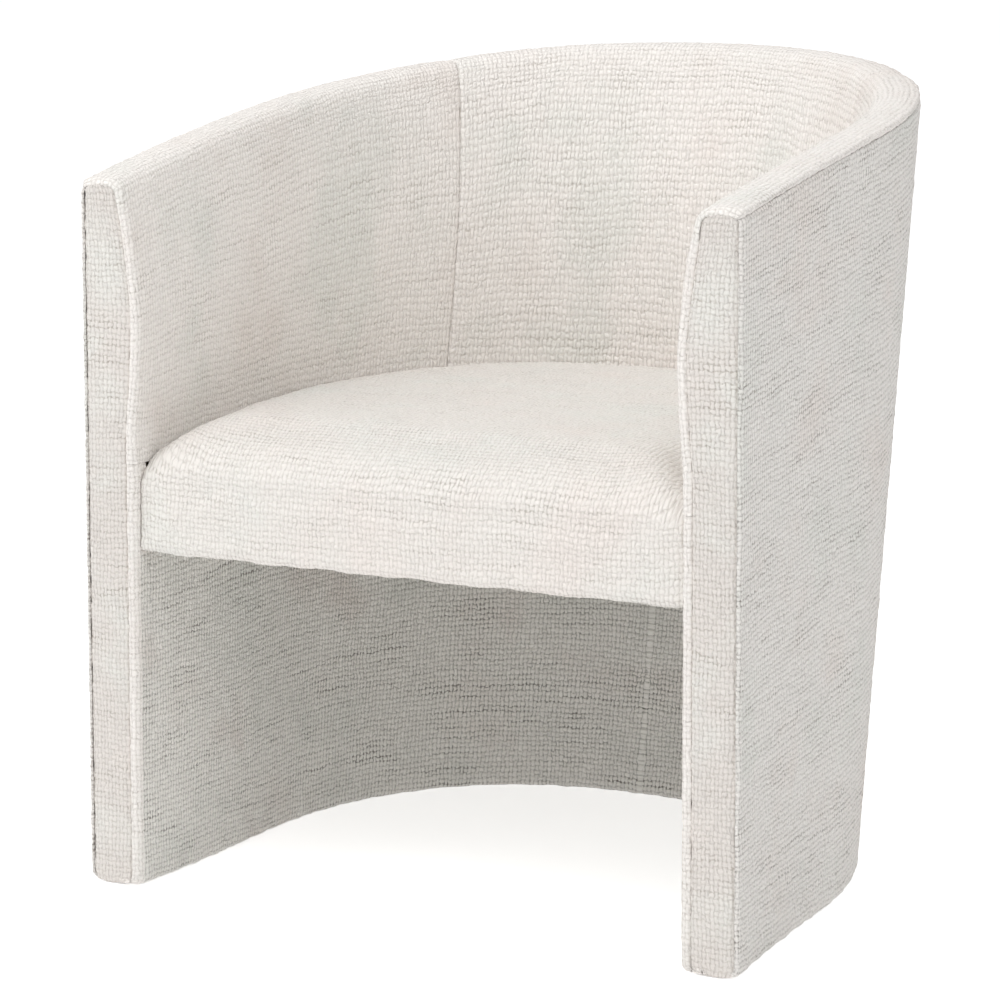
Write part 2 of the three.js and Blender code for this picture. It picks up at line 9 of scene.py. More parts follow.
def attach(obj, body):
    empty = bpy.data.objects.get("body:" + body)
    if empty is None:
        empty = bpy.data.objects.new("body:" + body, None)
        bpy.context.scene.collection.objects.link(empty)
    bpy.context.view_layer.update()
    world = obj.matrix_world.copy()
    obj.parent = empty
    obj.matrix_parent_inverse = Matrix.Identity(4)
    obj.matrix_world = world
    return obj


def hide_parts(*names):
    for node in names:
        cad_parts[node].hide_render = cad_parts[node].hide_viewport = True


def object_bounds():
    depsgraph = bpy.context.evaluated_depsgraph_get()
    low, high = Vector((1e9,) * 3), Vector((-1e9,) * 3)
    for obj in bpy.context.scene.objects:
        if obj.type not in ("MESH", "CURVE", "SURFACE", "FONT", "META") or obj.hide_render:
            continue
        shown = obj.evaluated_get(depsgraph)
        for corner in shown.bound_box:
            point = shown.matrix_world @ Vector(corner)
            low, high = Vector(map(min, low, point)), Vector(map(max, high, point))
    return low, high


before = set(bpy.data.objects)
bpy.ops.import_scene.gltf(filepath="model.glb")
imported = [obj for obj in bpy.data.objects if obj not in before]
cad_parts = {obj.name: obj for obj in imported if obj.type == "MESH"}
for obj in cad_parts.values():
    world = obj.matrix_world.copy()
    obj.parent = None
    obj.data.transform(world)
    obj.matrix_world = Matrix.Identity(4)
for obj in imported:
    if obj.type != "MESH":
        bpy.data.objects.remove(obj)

cadLow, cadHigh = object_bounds()
scene = bpy.context.scene
print("frame loaded:", len(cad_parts), "nodes")


# The curved wall, as the frame has it.
# u runs from 0 at the right front, round the back, to 1 at the left front.

wallShape = {
    "armHeight": 0.660,
    "backHeight": 0.760,
    "armRise": 0.42,
    "backRise": 0.65,
    "frontHalf": (0.331, 0.326),  # at the floor, and at the height of the back
    "sideHalf": (0.321, 0.334),
    "bend": (0.198, 0.290),
    "back": (0.564, 0.680),
    "roundness": 2.25,
    "armShare": 0.36,
    "rimZone": 0.040,
    "padStart": 0.400,
    "padDrop": 0.250,
    "boardInset": 0.0353,
    "backPad": 0.1,
    "lower": 0.055,  # thickness below the seat
    "seams": (0.3306, 0.6694),  # where the panels of the back meet the sides
}


def mix(a, b, t):
    return a + (b - a) * t


def ease(t):
    t = min(max(t, 0.0), 1.0)
    return t * t * (3 - 2 * t)


def bell(distance, width):
    return math.exp(-((distance / width) ** 2))


def ripple(amount, position, distance, form):
    # Small waves along a seam or an edge, which fade out at a distance from it
    waves, reach = form
    return amount * math.sin(position * waves) * bell(distance, reach)


def wallPlace(u, inset, z):
    k = z / wallShape["backHeight"]
    front, side, bend, back = (mix(*wallShape[name], k) for name in ("frontHalf", "sideHalf", "bend", "back"))
    sign = 1 if u < 0.5 else -1
    away = abs(2 * u - 1)
    backShare = 1 - wallShape["armShare"]
    if away >= backShare:
        along = (1 - away) / wallShape["armShare"]
        x = side - (side - front) * (1 - along) ** 2 - inset
        y = bend * along
    else:
        angle = away / backShare * math.pi / 2
        power = wallShape["roundness"]
        depth = back - bend
        across, behind = math.sin(angle) ** (2 / power), math.cos(angle) ** (2 / power)
        inward = Vector((across ** (power - 1) / side, behind ** (power - 1) / depth)).normalized()
        x = side * across - inward.x * inset
        y = bend + depth * behind - inward.y * inset
    return Vector((sign * x, y + cadLow.y, z))


def rimHeight(u):
    t = (wallPlace(u, 0, wallShape["backHeight"]).y - cadLow.y) / wallShape["back"][1]
    climb = 3 * (1 - t) ** 2 * t * wallShape["armRise"] + 3 * (1 - t) * t**2 * wallShape["backRise"] + t**3
    return mix(wallShape["armHeight"], wallShape["backHeight"], climb)


def heightAtDrop(drop, u):
    top, zone = rimHeight(u), wallShape["rimZone"]
    if drop <= zone:
        return top - drop
    return mix(top - zone, wallShape["padStart"], (drop - zone) / (wallShape["padDrop"] - zone))


def paddedInset(inset, drop, u):
    start = wallShape["boardInset"]
    if inset <= start:
        return inset
    backness = 1 - abs(2 * u - 1)
    belly = math.sin(math.pi * min(max(drop / wallShape["padDrop"], 0), 1))
    return start + (inset - start) * (1 + wallShape["backPad"] * 2 * backness * belly)


def lengths(points):
    run = [0.0]
    for a, b in zip(points, points[1:]):
        run.append(run[-1] + (Vector(b) - Vector(a)).length)
    return run


def readOff(xs, ys, x):
    i = min(max(bisect_right(xs, x) - 1, 0), len(xs) - 2)
    return mix(ys[i], ys[i + 1], (x - xs[i]) / max(xs[i + 1] - xs[i], 1e-9))


def ruler(inset, z, marks=900):
    us = [i / marks for i in range(marks + 1)]
    return us, lengths([wallPlace(u, inset, z) for u in us])


innerRuler = ruler(0.056, 0.54)  # along the padding above the seat
lowerRuler = ruler(wallShape["lower"], 0.16)  # along the leg space
outerRuler = ruler(0.0, 0.40)  # along the outer wall


def uAt(rule, distance):
    return readOff(rule[1], rule[0], distance)


def distanceAt(rule, u):
    return readOff(rule[0], rule[1], u)


edgeSteps = [0, 0.0008, 0.0018, 0.0031, 0.0048, 0.0068]  # close together where an edge turns
fineStep = 0.0025


def spaced(length, step, fine=0.0):
    # Positions from 0 to length, with finer ones at both ends
    ends = edgeSteps + [edgeSteps[-1] + fineStep * k for k in range(1, 1 + int(fine / fineStep))]
    middle = length - ends[-1] - edgeSteps[-1]
    count = max(1, round(middle / step))
    body = [ends[-1] + middle * k / count for k in range(1, count)]
    return ends + body + [length - e for e in reversed(edgeSteps)]


# The padded inner face and the rolled rim, as (inset, drop below the rim)

padPoints = [
    (0.055, 0.250), (0.0556, 0.215), (0.0585, 0.182), (0.061, 0.120), (0.055, 0.060), (0.046, 0.016),
    (0.038, 0.0035), (0.024, 0.0), (0.009, 0.001), (0.0016, 0.004), (0.0, 0.008),
]


def splineThrough(points, pieces=24):
    line = []
    last = len(points) - 1
    for i in range(last):
        p0, p1, p2, p3 = (Vector(points[min(max(i + k, 0), last)]) for k in (-1, 0, 1, 2))
        v0, v1 = (p2 - p0) * 0.5, (p3 - p1) * 0.5
        for k in range(pieces):
            t = k / pieces
            cubic = (2 * p1 - 2 * p2 + v0 + v1) * t**3
            square = (3 * p2 - 3 * p1 - 2 * v0 - v1) * t**2
            line.append(cubic + square + v0 * t + p1)
    return line + [Vector(points[-1])]


padLine = splineThrough(padPoints)
padRun = lengths(padLine)


def padSection(v):
    # Point and outward normal of the padded section, a distance v up from its foot
    point = Vector(readOff(padRun, padLine, v))
    reach = 0.002
    ahead = Vector(readOff(padRun, padLine, min(v + reach, padRun[-1])))
    behind = Vector(readOff(padRun, padLine, max(v - reach, 0)))
    along = (ahead - behind).normalized()
    return point, Vector((-along.y, along.x))


# Mesh helpers


clothThickness = 0.0022


def linked(name, data):
    made = bpy.data.objects.new(name, data)
    scene.collection.objects.link(made)
    return made


def meshObject(bm, name):
    mesh = bpy.data.meshes.new(name)
    bm.to_mesh(mesh)
    bm.free()
    return linked(name, mesh)


def thicken(piece, thickness):
    shell = piece.modifiers.new("thickness", "SOLIDIFY")
    shell.thickness = thickness
    shell.offset = -1


def mirror(bm):
    bmesh.ops.scale(bm, vec=(-1, 1, 1), verts=bm.verts[:])


def finish(bm, name, material, node=None, thickness=0.0, outward=None):
    # A piece from its bmesh: node is the CAD solid it stands for
    bm.normal_update()
    if outward is not None:
        lean = sum(outward(f.calc_center_median()).dot(f.normal) * f.calc_area() for f in bm.faces)
        if lean < 0:
            bmesh.ops.reverse_faces(bm, faces=bm.faces[:])
    for f in bm.faces:
        f.smooth = True
    piece = meshObject(bm, name)
    piece.data.materials.append(material)
    if thickness:
        thicken(piece, thickness)
    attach(piece, "root")
    if node:
        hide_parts(node)
    return piece


yarnLumps = ((0.6, 95), (1.1, 210))  # weight and scale of each noise


def knobs(bm, amount):
    # The uneven face of a chunky yarn
    bm.normal_update()
    shifts = []
    for v in bm.verts:
        rough = sum(weight * noise.noise(v.co * scale) for weight, scale in yarnLumps)
        shifts.append(v.normal * rough * amount)
    for v, shift in zip(bm.verts, shifts):
        v.co += shift


def numberedGrid(across, up):
    # A flat grid, and the column and row of each of its points
    bm = bmesh.new()
    bmesh.ops.create_grid(bm, x_segments=across, y_segments=up, size=1)
    cell = {v: (round((v.co.x + 1) / 2 * across), round((v.co.y + 1) / 2 * up)) for v in bm.verts}
    return bm, cell


def gridSurface(columns, rows, place, cloth):
    # A grid pulled into place: cloth gives its weave coordinates, in metres
    bm, cell = numberedGrid(len(columns) - 1, len(rows) - 1)
    weave = bm.loops.layers.uv.new("weave")
    for face in bm.faces:
        for loop in face.loops:
            i, j = cell[loop.vert]
            loop[weave].uv = cloth(columns[i], rows[j])
    for v, (i, j) in cell.items():
        v.co = place(columns[i], rows[j])
    return bm


def awayFromMiddle(sign):
    middle = Vector((0, -0.08, 0))

    def direction(point):
        flat = point - middle
        flat.z = 0
        return flat * sign

    return direction


edgeTuck = {"depth": 0.0022, "width": 0.0016}


def frontWrap(p, radius, rest):
    # A cover turns round the front edge: distance back from the front, and depth below the surface
    arc = radius * math.pi / 2
    if p < rest:
        return edgeTuck["depth"] * bell(p, edgeTuck["width"]), radius + rest - p
    if p < rest + arc:
        angle = (p - rest) / radius
        return radius - radius * math.cos(angle), radius - radius * math.sin(angle)
    return radius + p - rest - arc, 0.0


# Materials


def newGroup(name, colours, numbers):
    tree = bpy.data.node_groups.new(name, "ShaderNodeTree")

    def socket(label, kind, side="INPUT"):
        return tree.interface.new_socket(name=label, in_out=side, socket_type="NodeSocket" + kind)

    socket("Vector", "Vector")
    for label in colours:
        socket(label, "Color")
    for label, value in numbers.items():
        socket(label, "Float").default_value = value
    for label, kind in (("Color", "Color"), ("Height", "Float"), ("Roughness", "Float")):
        socket(label, kind, "OUTPUT")
    return tree, tree.nodes.new("NodeGroupInput").outputs


def giveOut(tree, *values):
    # A group's colour, height and roughness
    out = tree.nodes.new("NodeGroupOutput").inputs
    for socket, value in zip(out, values):
        put(tree, socket, value)
    return tree


def put(tree, socket, value):
    if isinstance(value, bpy.types.NodeSocket):
        tree.links.new(value, socket)
    else:
        socket.default_value = value


def calc(tree, operation, *values):
    node = tree.nodes.new("ShaderNodeMath")
    node.operation = operation
    for k, value in enumerate(values):
        put(tree, node.inputs[k], value)
    return node.outputs[0]


def stretch(tree, value, low, high, to=(0.0, 1.0)):
    node = tree.nodes.new("ShaderNodeMapRange")
    node.interpolation_type = "SMOOTHSTEP"
    put(tree, node.inputs["Value"], value)
    node.inputs["From Min"].default_value = low
    node.inputs["From Max"].default_value = high
    node.inputs["To Min"].default_value, node.inputs["To Max"].default_value = to
    return node.outputs["Result"]


def noiseAt(tree, vector, scale, detail=2.0, roughness=0.5, output="Fac"):
    node = tree.nodes.new("ShaderNodeTexNoise")
    put(tree, node.inputs["Vector"], vector)
    node.inputs["Scale"].default_value = scale
    node.inputs["Detail"].default_value = detail
    node.inputs["Roughness"].default_value = roughness
    return node.outputs[output]


def join(tree, x, y, z=0.0):
    node = tree.nodes.new("ShaderNodeCombineXYZ")
    for k, value in enumerate((x, y, z)):
        put(tree, node.inputs[k], value)
    return node.outputs[0]


def part(tree, vector):
    node = tree.nodes.new("ShaderNodeSeparateXYZ")
    put(tree, node.inputs[0], vector)
    return node.outputs


def blendColour(tree, share, a, b):
    node = tree.nodes.new("ShaderNodeMix")
    node.data_type = "RGBA"
    put(tree, node.inputs["Factor"], share)
    put(tree, node.inputs["A"], a)
    put(tree, node.inputs["B"], b)
    return node.outputs["Result"]


def makeWeaveGroup():
    sizes = {"Column": 0.0043, "Row": 0.0053, "Gap Shade Depth": 0.6}
    tree, given = newGroup("wovenYarn", ("Yarn", "Gap Shade", "Warm", "Cool"), sizes)
    place = given["Vector"]
    u, v, _ = part(tree, place)
    slow = part(tree, noiseAt(tree, place, 11, 2, 0.5, "Color"))
    quick = part(tree, noiseAt(tree, place, 120, 2, 0.6, "Color"))
    for wander, acrossBy, upBy in ((slow, 0.009, 0.012), (quick, 0.0044, 0.0050)):
        u = calc(tree, "MULTIPLY_ADD", calc(tree, "SUBTRACT", wander[0], 0.5), acrossBy, u)
        v = calc(tree, "MULTIPLY_ADD", calc(tree, "SUBTRACT", wander[1], 0.5), upBy, v)
    column = calc(tree, "DIVIDE", u, given["Column"])
    row = calc(tree, "DIVIDE", v, given["Row"])
    waveAcross = calc(tree, "SINE", calc(tree, "MULTIPLY", column, math.pi))
    waveUp = calc(tree, "SINE", calc(tree, "MULTIPLY", row, math.pi))
    over = calc(tree, "MULTIPLY", calc(tree, "MULTIPLY", waveAcross, waveUp), 1.7)
    over = calc(tree, "MAXIMUM", calc(tree, "MINIMUM", over, 1.0), -1.0)
    # The upright yarn shows in every other cell, and the level yarn in the rest
    upright = calc(tree, "POWER", calc(tree, "ABSOLUTE", waveAcross), 0.75)
    upright = calc(tree, "MULTIPLY", upright, calc(tree, "MULTIPLY_ADD", over, 0.42, 0.58))
    level = calc(tree, "POWER", calc(tree, "ABSOLUTE", waveUp), 0.75)
    level = calc(tree, "MULTIPLY", level, calc(tree, "MULTIPLY_ADD", over, -0.36, 0.52))
    bump = calc(tree, "MAXIMUM", upright, level)
    cell = tree.nodes.new("ShaderNodeTexWhiteNoise")
    cell.noise_dimensions = "2D"
    put(tree, cell.inputs["Vector"], join(tree, calc(tree, "FLOOR", column), calc(tree, "FLOOR", row)))
    bump = calc(tree, "MULTIPLY", bump, calc(tree, "MULTIPLY_ADD", cell.outputs["Value"], 0.45, 0.75))
    loops = calc(tree, "SUBTRACT", noiseAt(tree, place, 480, 3, 0.62), 0.5)
    bump = calc(tree, "MULTIPLY_ADD", loops, 1.0, bump)
    # Thick and thin places along the level yarn
    streakPlace = join(tree, calc(tree, "MULTIPLY", u, 14.0), calc(tree, "MULTIPLY", v, 120.0))
    streak = stretch(tree, noiseAt(tree, streakPlace, 1.0, 2, 0.5), 0.42, 0.66)
    patch = stretch(tree, noiseAt(tree, place, 17, 2, 0.55), 0.36, 0.64)
    # The hollows between the yarns are darkened towards the gap colour: painted shade, deeper along the
    # streaks and patches
    hollow = stretch(tree, bump, 0.66, 0.08)
    depth = calc(tree, "MULTIPLY_ADD", calc(tree, "MULTIPLY", streak, patch), 0.55, 0.45)
    shade = calc(tree, "MULTIPLY", calc(tree, "MULTIPLY", hollow, depth), given["Gap Shade Depth"])
    colour = blendColour(tree, shade, given["Yarn"], given["Gap Shade"])
    tint = noiseAt(tree, place, 6.5, 3, 0.6)
    warm = calc(tree, "MULTIPLY", stretch(tree, tint, 0.50, 0.70), 0.75)
    cool = calc(tree, "MULTIPLY", stretch(tree, tint, 0.50, 0.32), 0.75)
    colour = blendColour(tree, warm, colour, blendColour(tree, shade, given["Warm"], given["Gap Shade"]))
    colour = blendColour(tree, cool, colour, blendColour(tree, shade, given["Cool"], given["Gap Shade"]))
    height = calc(tree, "MULTIPLY_ADD", streak, -0.12, bump)
    return giveOut(tree, colour, height, stretch(tree, bump, 0.1, 0.9, (0.98, 0.86)))


def makeFibreGroup():
    # Short fibres, specks and soft mottling for felt, wadding, board, lining and foam
    tree, given = newGroup("fibreMottle", ("Light", "Dark", "Fleck"), {})
    place = given["Vector"]
    fibres = noiseAt(tree, place, 620, 4, 0.7)
    mottle = noiseAt(tree, place, 24, 3, 0.6)
    colour = blendColour(tree, stretch(tree, mottle, 0.3, 0.7), given["Light"], given["Dark"])
    fleck = tree.nodes.new("ShaderNodeTexVoronoi")
    put(tree, fleck.inputs["Vector"], place)
    fleck.inputs["Scale"].default_value = 330
    colour = blendColour(tree, stretch(tree, fleck.outputs["Distance"], 0.30, 0.12), colour, given["Fleck"])
    height = calc(tree, "MULTIPLY_ADD", fleck.outputs["Distance"], 0.4, fibres)
    return giveOut(tree, colour, height, stretch(tree, fibres, 0.3, 0.7, (0.78, 0.98)))


def makeGrainGroup():
    # Wood grain drawn out along one direction, over the even layers of a laminate
    tree, given = newGroup("woodLayers", ("Pale", "Dark"), {"Layer": 0.0015})
    x, y, z = part(tree, given["Vector"])
    wide = join(tree, *(calc(tree, "MULTIPLY", value, by) for value, by in ((x, 0.35), (y, 0.35), (z, 5.0))))
    grain = noiseAt(tree, wide, 60, 4, 0.6)
    stripe = calc(tree, "SINE", calc(tree, "DIVIDE", z, calc(tree, "MULTIPLY", given["Layer"], 0.318)))
    layer = stretch(tree, stripe, -0.5, 0.5)
    drawn = calc(tree, "MULTIPLY", stretch(tree, grain, 0.35, 0.68), 0.6)
    share = calc(tree, "MULTIPLY_ADD", layer, 0.35, drawn)
    colour = blendColour(tree, share, given["Pale"], given["Dark"])
    height = calc(tree, "MULTIPLY_ADD", layer, 0.3, grain)
    return giveOut(tree, colour, height, stretch(tree, grain, 0.3, 0.7, (0.55, 0.75)))


def makeWearGroup():
    # Fine scuffs and cloudy handling marks on metal and moulded plastic
    tree, given = newGroup("scuffs", ("Base", "Worn"), {})
    place = given["Vector"]
    cloud = stretch(tree, noiseAt(tree, place, 90, 4, 0.65), 0.38, 0.66)
    scratch = noiseAt(tree, place, 1400, 2, 0.6)
    colour = blendColour(tree, cloud, given["Base"], given["Worn"])
    dull = calc(tree, "MULTIPLY_ADD", cloud, 0.22, calc(tree, "MULTIPLY", scratch, 0.4))
    return giveOut(tree, colour, scratch, dull)


def makeMaterial(name, group, values, bump, constants, coordinates="Object"):
    material = bpy.data.materials.new(name)
    material.use_nodes = True
    tree = material.node_tree
    shader = tree.nodes["Principled BSDF"]
    where = tree.nodes.new("ShaderNodeTexCoord")
    pattern = tree.nodes.new("ShaderNodeGroup")
    pattern.node_tree = group
    tree.links.new(where.outputs[coordinates], pattern.inputs["Vector"])
    for label, value in values.items():
        pattern.inputs[label].default_value = value
    relief = tree.nodes.new("ShaderNodeBump")
    relief.inputs["Distance"].default_value = bump
    relief.inputs["Strength"].default_value = 1.0
    tree.links.new(pattern.outputs["Height"], relief.inputs["Height"])
    tree.links.new(pattern.outputs["Color"], shader.inputs["Base Color"])
    tree.links.new(pattern.outputs["Roughness"], shader.inputs["Roughness"])
    tree.links.new(relief.outputs["Normal"], shader.inputs["Normal"])
    for label, value in constants.items():
        shader.inputs[label].default_value = value
    return material


def rgb(r, g, b):
    return (r, g, b, 1.0)


coverLook = {
    "Yarn": rgb(0.875, 0.838, 0.795),
    # the gap colour is painted shade between the yarns
    "Gap Shade": rgb(0.36, 0.315, 0.265),
    "Warm": rgb(0.885, 0.820, 0.775),
    "Cool": rgb(0.850, 0.845, 0.800),
    "Gap Shade Depth": 0.62,
    "Column": 0.0043,
    "Row": 0.0053,
}
coverSheen = {"Sheen Weight": 0.12, "Sheen Roughness": 0.5, "Specular IOR Level": 0.25}

weaveGroup = makeWeaveGroup()
fibreGroup = makeFibreGroup()
grainGroup = makeGrainGroup()
wearGroup = makeWearGroup()



def coverCloth(name, changes, bump=0.0013):
    # One fabric, made as lit and shaded copies: each copy's yarn and gap colours paint the light and shade of
    # where it lies on the chair
    return makeMaterial(name, weaveGroup, {**coverLook, **changes}, bump, coverSheen, "UV")


def fibreSheet(name, light, dark, fleck, bump, constants):
    look = {"Light": rgb(*light), "Dark": rgb(*dark), "Fleck": rgb(*fleck)}
    return makeMaterial(name, fibreGroup, look, bump, constants)


wovenCover = coverCloth("wovenCover", {})
# Brighter yarn on the inside walls: painted light
wovenInsidePaintedLight = coverCloth("wovenInsidePaintedLight", {"Yarn": rgb(0.940, 0.900, 0.862)})
# Brighter yarn with darker, deeper gaps on the outside: painted light and painted shade
wovenOutsidePaintedLightAndShade = coverCloth(
    "wovenOutsidePaintedLightAndShade", {"Yarn": rgb(0.90, 0.870, 0.835), "Gap Shade Depth": 0.95, "Gap Shade": rgb(0.24, 0.21, 0.18)}, 0.0016
)
# Darker yarn and deeper gaps on the facings: painted shade
wovenFacingPaintedShade = coverCloth("wovenFacingPaintedShade", {"Yarn": rgb(0.80, 0.755, 0.715), "Gap Shade Depth": 0.80})
# Brighter yarn with the darkest, deepest gaps in the leg space: painted light and painted shade
wovenLegSpacePaintedLightAndShade = coverCloth(
    "wovenLegSpacePaintedLightAndShade", {"Yarn": rgb(0.95, 0.925, 0.88), "Gap Shade": rgb(0.17, 0.155, 0.13), "Gap Shade Depth": 1.0}, 0.0019
)
matt = {"Specular IOR Level": 0.2}
cutFoam = fibreSheet("cutFoam", (0.90, 0.82, 0.55), (0.84, 0.74, 0.44), (0.70, 0.58, 0.30), 0.0006, matt)
pressedFelt = fibreSheet(
    "pressedFelt", (0.24, 0.23, 0.22), (0.13, 0.13, 0.14), (0.45, 0.30, 0.22), 0.0008, matt
)
softWadding = fibreSheet(
    "softWadding", (0.93, 0.93, 0.91), (0.84, 0.84, 0.82), (0.97, 0.97, 0.96), 0.0009,
    {"Sheen Weight": 0.2, **matt},
)
underLining = fibreSheet(
    "underLining", (0.74, 0.72, 0.68), (0.64, 0.62, 0.58), (0.82, 0.80, 0.76), 0.0004,
    {"Specular IOR Level": 0.3},
)
brownBoard = fibreSheet(
    "brownBoard", (0.30, 0.17, 0.09), (0.20, 0.11, 0.055), (0.42, 0.27, 0.15), 0.0002,
    {"Specular IOR Level": 0.35},
)
birchLayers = makeMaterial(
    "birchLayers",
    grainGroup,
    {"Pale": rgb(0.66, 0.47, 0.27), "Dark": rgb(0.42, 0.26, 0.12), "Layer": 0.0015},
    0.0002,
    {"Specular IOR Level": 0.4},
)
springSteel = makeMaterial(
    "springSteel",
    wearGroup,
    {"Base": rgb(0.42, 0.43, 0.45), "Worn": rgb(0.26, 0.26, 0.27)},
    0.00005,
    {"Metallic": 1.0},
)
glidePlastic = makeMaterial(
    "glidePlastic",
    wearGroup,
    {"Base": rgb(0.055, 0.055, 0.058), "Worn": rgb(0.12, 0.12, 0.12)},
    0.00005,
    {"Specular IOR Level": 0.5},
)
print("materials made")

frameFinish = {
    "glide": glidePlastic, "seat_spring": springSteel, "spring_clip": springSteel, "screw": springSteel,
    "board": brownBoard, "rail": birchLayers, "post": birchLayers, "stud": birchLayers, "block": birchLayers,
}
for nodeName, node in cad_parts.items():
    for word, finishMaterial in frameFinish.items():
        if word in nodeName:
            for materialSlot in node.material_slots:
                materialSlot.material = finishMaterial
            break
print("frame finished")


# Inside covers: three panels, from the seat up the padding and over the rim to the outer seam

insideCovers = {
    "step": 0.0043,
    "wrapRadius": 0.006,
    "wrapRest": 0.004,
    "seamDepth": 0.0020,
    "seamWidth": 0.0026,
    "dimpleDepth": 0.0009,
    "dimpleWidth": 0.016,
    "pucker": 0.0005,
    "rimSeam": (0.0022, 0.0022),  # depth and width
    "rimRipple": (620, 0.014),  # radians to a metre, and reach
    "cutRipple": (540, 0.012),
    "restEnd": (0.215, 0.035),  # where the front edge's flat part fades out, and over how far
    "knobs": 0.0007,
}
seamShift = 0.0003


def seamDip(fromEdge, values):
    # The sunken line where two panels are sewn, and the shallow dimple beside it
    d = fromEdge + seamShift
    line = values["seamDepth"] * bell(d, values["seamWidth"])
    return line + values["dimpleDepth"] * bell(d, values["dimpleWidth"])


def restAt(v):
    # Flat part of the inside cover's turned front edge, which fades out over the rim
    start, fade = insideCovers["restEnd"]
    return insideCovers["wrapRest"] * (1 - ease((v - start) / fade))


def makeInsidePanels():
    values = insideCovers
    cuts = [distanceAt(innerRuler, u) for u in wallShape["seams"]]
    rows = spaced(padRun[-1], values["step"])
    radius, rest = values["wrapRadius"], values["wrapRest"]
    rimDepth, rimWidth = values["rimSeam"]
    extra = rest + radius * math.pi / 2 - radius

    def makePanel(start, end):
        atFront = start == 0
        length = end - start + (extra if atFront else 0)
        columns = spaced(length, values["step"], 0.012 if atFront else 0)

        def place(p, v):
            spare = restAt(v)
            if atFront:
                q = p + (rest - spare) * (1 - p / length)
                s, dip = frontWrap(q, radius, rest)
            else:
                s, dip = start + p, seamDip(p, values)
            dip += seamDip(length - p, values)
            # the rim seam, with small puckers beside it
            fromRim = padRun[-1] - v
            dip += rimDepth * bell(fromRim, rimWidth)
            dip += ripple(values["pucker"], s, fromRim, values["rimRipple"])
            nearest = min(abs(s - cut) for cut in cuts)
            dip += ripple(values["pucker"], v, nearest, values["cutRipple"])
            point, normal = padSection(v)
            inset, drop = point.x - normal.x * dip, point.y - normal.y * dip
            u = uAt(innerRuler, s)
            return wallPlace(u, paddedInset(inset, drop, u), heightAtDrop(drop, u))

        bm = gridSurface(columns, rows, place, lambda p, v: (start + p, v + wallShape["padStart"]))
        knobs(bm, values["knobs"])
        return bm

    for side in ("right", "left", "centre"):
        bm = makePanel(*cuts) if side == "centre" else makePanel(0, cuts[0])
        if side == "left":
            mirror(bm)
        node = "inside_cover_" + side
        finish(bm, side + "InsideCover", wovenInsidePaintedLight, node, clothThickness, awayFromMiddle(-1))


makeInsidePanels()
print("inside covers made")


# Lower inside cover, with a return up each side of the seat's front

lowerCover = {
    "step": 0.0043,
    "top": 0.3167,
    "returnTop": 0.3998,  # beside the seat's front, up to the inside covers
    "returnDepth": 0.026,
    "returnFade": 0.008,
    "low": 0.0008,
    "hemRadius": 0.006,
    "hemBack": 0.010,
    "wave": 0.0007,
    "waveForm": (160, 0.02),  # radians to a metre, and reach
    "cornerLift": 0.004,
    "knobs": 0.0007,
    "litStrip": 0.012,  # the front edge, in the same light as the panels above it
}


def hemmedFace(v, face, sign, values):
    # A cover's foot, as inset and height: under the edge, round the corner and up the face
    radius, back, low = values["hemRadius"], values["hemBack"], values["low"]
    arc = radius * math.pi / 2
    if v < back:
        return face - sign * (radius + back - v), low
    if v < back + arc:
        angle = (v - back) / radius
        return face - sign * (radius - radius * math.sin(angle)), low + radius - radius * math.cos(angle)
    return face, low + radius + v - back - arc


def makeLowerCover():
    values = lowerCover
    radius, rest = insideCovers["wrapRadius"], insideCovers["wrapRest"]
    length = lowerRuler[1][-1] + 2 * (rest + radius * math.pi / 2 - radius)
    columns = spaced(length, values["step"], 0.024)
    hem = values["hemBack"] + values["hemRadius"] * math.pi / 2
    height = values["top"] - values["low"] - values["hemRadius"]
    rows = spaced(hem + height, values["step"], 0.012)
    face = wallShape["lower"]

    def levelAt(near, v):
        inset, z = hemmedFace(v, face, 1, values)
        reach = 1 - ease((near - values["returnDepth"]) / values["returnFade"])
        rise = (values["returnTop"] - values["top"]) * reach
        return inset, z + rise * max(v - hem, 0) / height

    def place(p, v):
        near = min(p, length - p)
        s, dip = frontWrap(near, radius, rest)
        inset, z = levelAt(near, v)
        dip += ripple(values["wave"], p, z, values["waveForm"])
        u = uAt(lowerRuler, s)
        lift = values["cornerLift"] * bell(near - rest, 0.006) * bell(z, 0.010)
        return wallPlace(u if p < length / 2 else 1 - u, inset - dip, z + lift)

    def cloth(p, v):
        near = min(p, length - p)
        return (near, levelAt(near, v)[1] if v > hem else v - hem + values["low"] + values["hemRadius"])

    bm = gridSurface(columns, rows, place, cloth)
    knobs(bm, values["knobs"])
    weave = bm.loops.layers.uv.active
    # Faces on the front strip and above the seat take the inside copy's painted light, the rest the leg-space
    # copy's painted light and shade
    for f in bm.faces:
        lit = min(loop[weave].uv.x for loop in f.loops) < values["litStrip"]
        f.material_index = 1 if lit or f.calc_center_median().z > values["top"] else 0
    facingIn = awayFromMiddle(-1)
    node = "lower_inside_cover"
    piece = finish(bm, "lowerInsideCover", wovenLegSpacePaintedLightAndShade, node, clothThickness, facingIn)
    piece.data.materials.append(wovenInsidePaintedLight)


makeLowerCover()
print("lower inside cover made")


# Outside covers: two sides and the back

outsideCovers = {
    "step": 0.0046,
    "low": 0.0008,
    "hemRadius": 0.007,
    "hemBack": 0.009,
    "wrapRadius": 0.004,
    "topDrop": 0.0086,
    "seamDepth": 0.0020,
    "seamWidth": 0.0026,
    "dimpleDepth": 0.0008,
    "dimpleWidth": 0.012,
    "reference": 0.70,  # height that the weave is measured on
    "rimSeam": (0.0022, 0.0022),  # depth and width
    "pucker": 0.0005,
    "rimRipple": (590, 0.012),  # radians to a metre, and reach
    "wave": 0.0006,
    "waveForm": (150, 0.02),
    "cornerLift": 0.009,
    "knobs": 0.0008,
}


